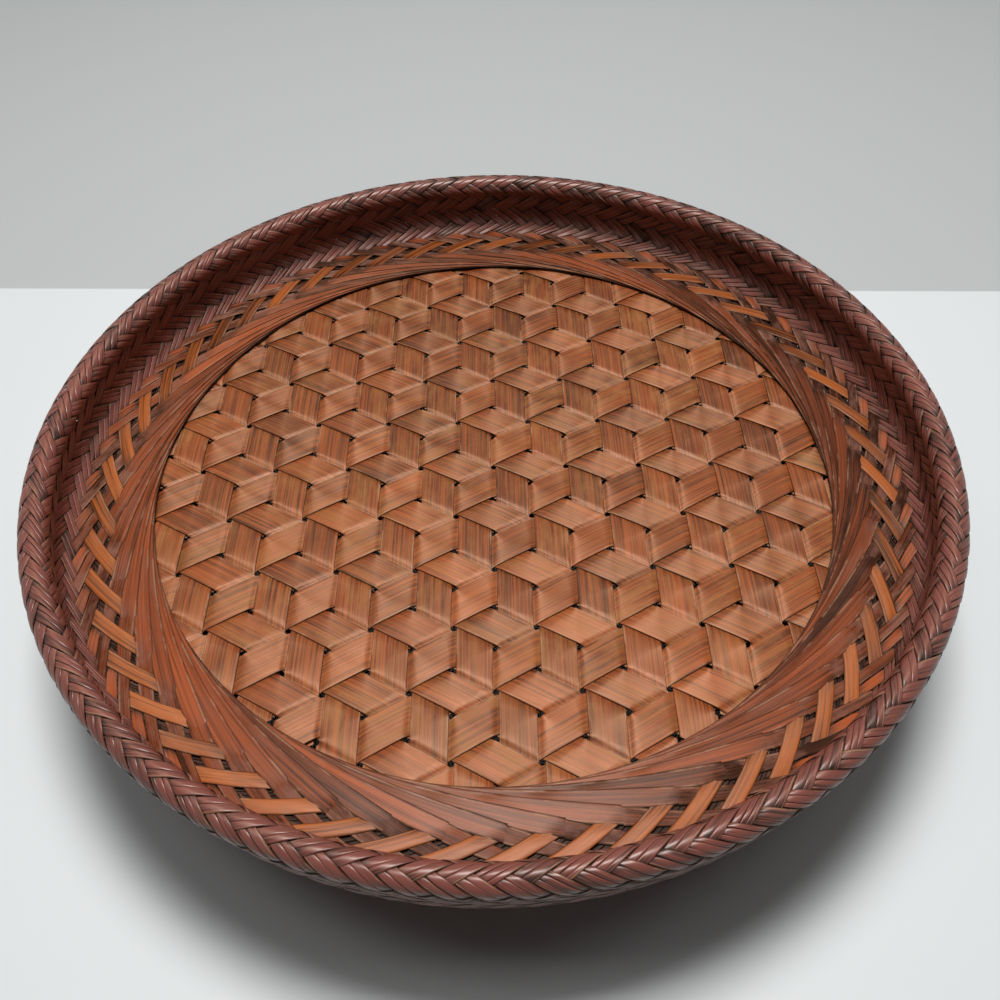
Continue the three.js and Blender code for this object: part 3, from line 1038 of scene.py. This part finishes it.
def stage():
    """A white table top that turns pale grey behind the tray, three lamps and a dim world.

    The world looks pale to the camera and in reflections, but sheds only a little light.
    """
    material, tree = new_material("matt_table_top")
    place = add_node(tree, "ShaderNodeTexCoord")
    distance = add_node(tree, "ShaderNodeVectorMath", {
        0: place.outputs["Object"], 1: TABLE_BACK}, operation="DOT_PRODUCT")
    behind = carry(tree, distance.outputs["Value"], TABLE_EDGE * MM, (TABLE_EDGE + 1) * MM)
    colour = blend(tree, behind, linear(TABLE_WHITE), linear(TABLE_GREY))
    surface = add_node(tree, "ShaderNodeBsdfPrincipled", {
        "Base Color": colour, "Roughness": 0.6})
    add_node(tree, "ShaderNodeOutputMaterial", {"Surface": surface.outputs["BSDF"]})
    mesh = bpy.data.meshes.new("table_top")
    corners = [(x * TABLE_REACH, y * TABLE_REACH, 0)
               for x, y in ((-1, -1), (1, -1), (1, 1), (-1, 1))]
    mesh.from_pydata(corners, [], [(0, 1, 2, 3)])
    mesh.materials.append(material)
    table_top = bpy.data.objects.new("table_top", mesh)
    bpy.context.collection.objects.link(table_top)

    for label, size, energy, place, turn in LAMPS:
        lamp = bpy.data.lights.new(label, "AREA")
        lamp.shape = "RECTANGLE"
        lamp.size, lamp.size_y = size
        lamp.energy = energy
        holder = bpy.data.objects.new(label, lamp)
        holder.location = place
        holder.rotation_euler = np.radians(turn)
        bpy.context.collection.objects.link(holder)

    world = bpy.data.worlds.new("room")
    bpy.context.scene.world = world
    world.use_nodes = True
    tree = world.node_tree
    tree.nodes.clear()
    path = add_node(tree, "ShaderNodeLightPath")
    mirrored = calculate(tree, "MAXIMUM", path.outputs["Is Glossy Ray"],
                         path.outputs["Is Transmission Ray"])
    seen = calculate(tree, "MAXIMUM", path.outputs["Is Camera Ray"], mirrored)
    dim = add_node(tree, "ShaderNodeBackground", {
        "Color": linear("#e8ecf0"), "Strength": WORLD_LIGHT})
    pale = add_node(tree, "ShaderNodeBackground", {
        "Color": linear("#c9cccb"), "Strength": 1.0})
    mixed = add_node(tree, "ShaderNodeMixShader", {
        0: seen, 1: dim.outputs["Background"], 2: pale.outputs["Background"]})
    add_node(tree, "ShaderNodeOutputWorld", {"Surface": mixed.outputs["Shader"]})


def camera():
    """The photograph's camera: looking along +Y, turned down and rolled a little."""
    data = bpy.data.cameras.new("camera")
    data.lens = CAMERA_LENS
    data.sensor_width = SENSOR_WIDTH
    data.clip_start, data.clip_end = 0.01, 50.0
    ahead = np.array([0, np.cos(CAMERA_DOWN), -np.sin(CAMERA_DOWN)])
    up = np.array([0, np.sin(CAMERA_DOWN), np.cos(CAMERA_DOWN)])
    right = np.array([1.0, 0, 0])
    x_axis = np.cos(CAMERA_ROLL) * right + np.sin(CAMERA_ROLL) * up
    y_axis = -np.sin(CAMERA_ROLL) * right + np.cos(CAMERA_ROLL) * up
    holder = bpy.data.objects.new("camera", data)
    turned = Matrix(np.stack([x_axis, y_axis, -ahead], axis=1).tolist()).to_4x4()
    holder.matrix_world = Matrix.Translation(np.array(CAMERA_PLACE) * MM) @ turned
    bpy.context.collection.objects.link(holder)
    bpy.context.scene.camera = holder


camera()
stage()
for family in range(3):
    for number in range(-STRIPS_PER_FAMILY // 2, STRIPS_PER_FAMILY // 2):
        floor_strip(family, number)
fan_strips()
single_strips()
border_splints()
ring_core()
foot()
rim_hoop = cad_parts["rim_hoop"]
rim_hoop.data.materials.clear()
rim_hoop.data.materials.append(HOOP_BAMBOO)

bpy.context.scene.view_settings.view_transform = "Standard"
